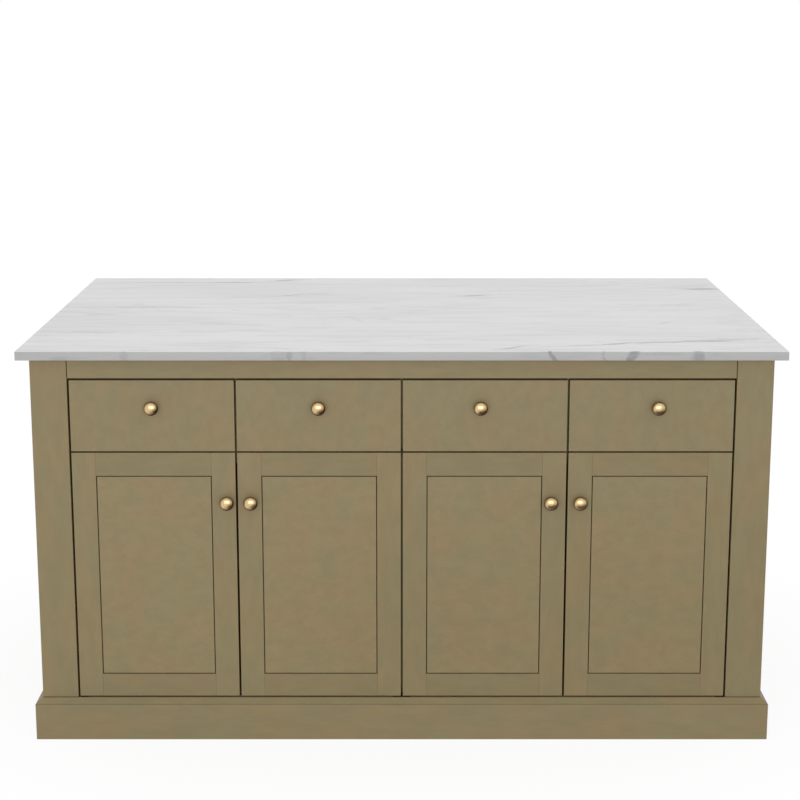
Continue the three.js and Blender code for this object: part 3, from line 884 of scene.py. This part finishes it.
for number in range(1, 5):
    name = f"drawer_{number}"
    front_board = ease(block(*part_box(f"{name}_front")), edge_ease)
    add_piece(f"{name}_front_board", front_board, name, veneer_paints[Z], "painted_wood", f"{name}_front")
    parts = list(drawer_box(*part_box(f"{name}_box")))
    for part, shape, finish in parts:
        add_piece(f"{name}_{part}", ease(shape, 0.3 * mm, 1), name, finish, "carcass_wood", f"{name}_box")
    print(name, "has", len(parts), "boards behind its front")

# %% [markdown]
# ## Knobs
#
# A knob is turned on a lathe, so it is spun from half of its outline: a flat foot with a soft edge,
# a waisted neck and a domed head. The head is an arc of an ellipse in many small steps, smooth enough
# to mirror the lamps without facets. Each ring also gets its tarnish in the neck and foot, and a
# painted dark reflection on the rim, outwards from the bright crown. The lower right side of each
# knob gets a painted dark reflection too.

# %% The knob's outline
knob_radius = 15.5 * mm
knob_reach = 24 * mm
foot_radius = 10.5 * mm
foot_height = 2.5 * mm
neck_radius = 6 * mm
dome_depth = 9.5 * mm
underside_depth = 5 * mm
turning_steps = 64
# Beyond this share, the head's rim is darkened as a painted dark reflection.
bright_crown_share = 0.72  # share of the head's radius that stays bright
# The lower right side of each knob is darkened as a painted dark reflection.
dark_reflection_side = Vector((0.6, -0.8))  # to the right and down, where the knob goes brown


def knob_outline():
    """Points as (radius, distance from the board, tarnish and painted dark reflection), from the board to
    the crown.
    """
    widest = knob_reach - dome_depth
    points = [(0, 0.3 * mm, 1), (foot_radius, 0.3 * mm, 1), (foot_radius, foot_height * 0.5, 0.5)]
    for k in range(1, 5):
        angle = math.radians(22.5 * k)
        rim = foot_height * 0.5
        points.append((foot_radius - rim + rim * math.cos(angle), rim + rim * math.sin(angle), 0.45))
    neck_low = foot_height + 0.4 * mm
    neck_angle = -math.acos(neck_radius / knob_radius)
    neck_high = widest + underside_depth * math.sin(neck_angle)
    for k in range(9):
        share = k / 8
        waist = neck_radius - 0.9 * mm * math.sin(math.pi * share)
        points.append((waist, neck_low + (neck_high - neck_low) * share, 0.9))
    for k in range(1, 10):
        angle = neck_angle * (1 - k / 9)
        points.append((knob_radius * math.cos(angle), widest + underside_depth * math.sin(angle), 0.8))
    for k in range(1, 25):
        angle = math.radians(90 * k / 24)
        radius = knob_radius * math.cos(angle)
        # Painted dark reflection on the head's rim, beyond the bright crown.
        tarnish_and_dark_reflection = max(0, radius / knob_radius - bright_crown_share) * 2.6
        points.append((radius, widest + dome_depth * math.sin(angle), tarnish_and_dark_reflection))
    return points


# %% Turning the knobs
def turned_knob(centre):
    """A knob that stands out from a board towards -Y."""
    shape = bmesh.new()
    layer = shape.verts.layers.float.new("tarnish_and_dark_reflection")
    points = []
    for radius, reach, tarnish_and_dark_reflection in knob_outline():
        vert = shape.verts.new((centre.x + radius, centre.y - reach, centre.z))
        vert[layer] = tarnish_and_dark_reflection
        points.append(vert)
    outline = [shape.edges.new(pair) for pair in zip(points, points[1:])]
    bmesh.ops.spin(shape, geom=points + outline, cent=centre, axis=(0, 1, 0), dvec=(0, 0, 0),
                   angle=2 * math.pi, steps=turning_steps, use_merge=True, use_duplicate=False)
    bmesh.ops.remove_doubles(shape, verts=shape.verts, dist=0.002 * mm)
    # Painted dark reflection: the lower right side of each knob is darkened.
    for vert in shape.verts:
        aside = Vector((vert.co.x - centre.x, vert.co.z - centre.z)) / knob_radius
        vert[layer] = min(1, vert[layer] + 1.2 * max(0, aside.dot(dark_reflection_side)))
    return shape


for kind in ("drawer", "door"):
    for number in range(1, 5):
        node = f"{kind}_{number}_knob"
        low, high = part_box(node)
        centre = Vector(((low.x + high.x) / 2, high.y + 0.3 * mm, (low.z + high.z) / 2))
        knob = turned_knob(centre)
        add_piece(f"{node}_turned", knob, f"{kind}_{number}", brass, "brass", node,
                  smooth=math.radians(35))
print("knobs stand", round(knob_reach * 1000, 1), "mm proud")

# %% [markdown]
# ## Carcass and hinges
#
# The boards of the carcass and the steel hinges are the right shape already, so they stay, and only
# get their finish: birch with its grain along the board's longer side, with the plies showing on the
# thin edges, and dark bronze. Each hinge plate is held by two pan-head screws.

# %% Finishing the nodes that stay
lying = birch("birch_lying", X, Z)
standing = birch("birch_standing", Z, X)
running = birch("birch_running", Y, X, plies=False)
hinge_names = [f"door_{number}_{end}_hinge" for number in range(1, 5) for end in ("top", "bottom")]
finishes = {
    lying: ["base_panel", "left_drawer_deck", "right_drawer_deck", "left_shelf", "right_shelf"],
    standing: ["left_carcass_side", "right_carcass_side", "centre_partition", "left_drawer_divider",
               "right_drawer_divider"],
    running: ["base_bearer"] + [f"drawer_{number}_runner" for number in range(1, 5)],
    bronze: hinge_names,
}
for finish, names in finishes.items():
    for name in names:
        for slot in nodes[name].material_slots:
            slot.material = finish
    print(finish.name, "on", len(names), "nodes")

# %% Screw heads
screw_head_sizes = {"hinge": (3.4 * mm, 1.1 * mm), "knob": (4.5 * mm, 1.8 * mm)}


def pan_head(kind, place, facing):
    """A low domed screw head that stands at a place and faces along Z (2) or Y (1)."""
    radius, height = screw_head_sizes[kind]
    x, y, z = place
    shape = bmesh.new()
    points = [shape.verts.new((x, y, z + height))]
    for k in range(1, 7):
        angle = math.radians(90 - 15 * k)
        points.append(shape.verts.new((x + radius * math.cos(angle), y, z + height * math.sin(angle))))
    points.append(shape.verts.new((x, y, z)))
    outline = [shape.edges.new(pair) for pair in zip(points, points[1:])]
    bmesh.ops.spin(shape, geom=points + outline, cent=place, axis=(0, 0, 1), dvec=(0, 0, 0),
                   angle=2 * math.pi, steps=24, use_merge=True, use_duplicate=False)
    bmesh.ops.remove_doubles(shape, verts=shape.verts, dist=0.002 * mm)
    if facing == Y:
        turn = Matrix.Rotation(-math.pi / 2, 3, "X")
        bmesh.ops.rotate(shape, cent=place, matrix=turn, verts=shape.verts)
    return shape


hinge_plate = 2 * mm
for name in hinge_names:
    low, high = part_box(name)
    plate_top = low.z + hinge_plate if "bottom" in name else high.z
    for k, from_back in enumerate((6 * mm, 17 * mm)):
        place = ((low.x + high.x) / 2, high.y - from_back, plate_top)
        add_piece(f"{name}_screw_{k + 1}", pan_head("hinge", place, Z), "carcass", bronze,
                  "hinge_metal", smooth=math.radians(50))
for kind in ("drawer", "door"):
    for number in range(1, 5):
        name = f"{kind}_{number}"
        low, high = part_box(f"{name}_knob")
        if kind == "drawer":
            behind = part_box(f"{name}_box")[0].y + side_thickness
        else:
            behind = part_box(f"{name}_frame")[1].y
        place = ((low.x + high.x) / 2, behind, (low.z + high.z) / 2)
        add_piece(f"{name}_knob_screw", pan_head("knob", place, Y), name, steel, "hinge_metal",
                  smooth=math.radians(50))
print(2 * len(hinge_names) + 8, "screws")

# %% [markdown]
# ## Magnetic catches
#
# Something has to keep the doors shut. Where each pair of doors meets, a small housing is screwed to
# the underside of the deck. It holds two magnets, and a thin steel plate on the back of each door
# rests against them.

# %% The catches
housing_length = 52 * mm
housing_depth = 20 * mm
housing_height = 13 * mm
housing_front = carcass_front - 1.6 * mm
magnet_from_middle = 14 * mm
magnet_width = 16 * mm
magnet_span = (-10.5 * mm, -2.5 * mm)  # lowest and highest point, from the top of the housing
magnet_recess = 0.4 * mm
plate_width = 18 * mm
plate_span = (-11 * mm, -2 * mm)
plate_thickness = 0.9 * mm
for side, pair in (("left", (1, 2)), ("right", (3, 4))):
    meeting = (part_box(f"door_{pair[0]}_frame")[1].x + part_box(f"door_{pair[1]}_frame")[0].x) / 2
    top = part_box(f"{side}_drawer_deck")[0].z - 0.2 * mm
    low = (meeting - housing_length / 2, housing_front, top - housing_height)
    high = (meeting + housing_length / 2, housing_front + housing_depth, top)
    housing = ease(block(low, high), 1.2 * mm, 3)
    magnets = [meeting + way * magnet_from_middle for way in (-1, 1)]
    for middle in magnets:
        limits = {
            X: (middle - magnet_width / 2, middle + magnet_width / 2),
            Z: (top + magnet_span[0], top + magnet_span[1]),
        }
        push(housing, Y, housing_front, limits, magnet_recess)
    add_piece(f"{side}_catch_housing", housing, "carcass", catch_plastic, "hinge_metal")
    for number, middle in zip(pair, magnets):
        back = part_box(f"door_{number}_frame")[1].y
        low = (middle - plate_width / 2, back, top + plate_span[0])
        high = (middle + plate_width / 2, back + plate_thickness, top + plate_span[1])
        plate = ease(block(low, high), 0.3 * mm, 2)
        add_piece(f"door_{number}_strike_plate", plate, f"door_{number}", steel, "hinge_metal")
print("2 catches, 4 strike plates")
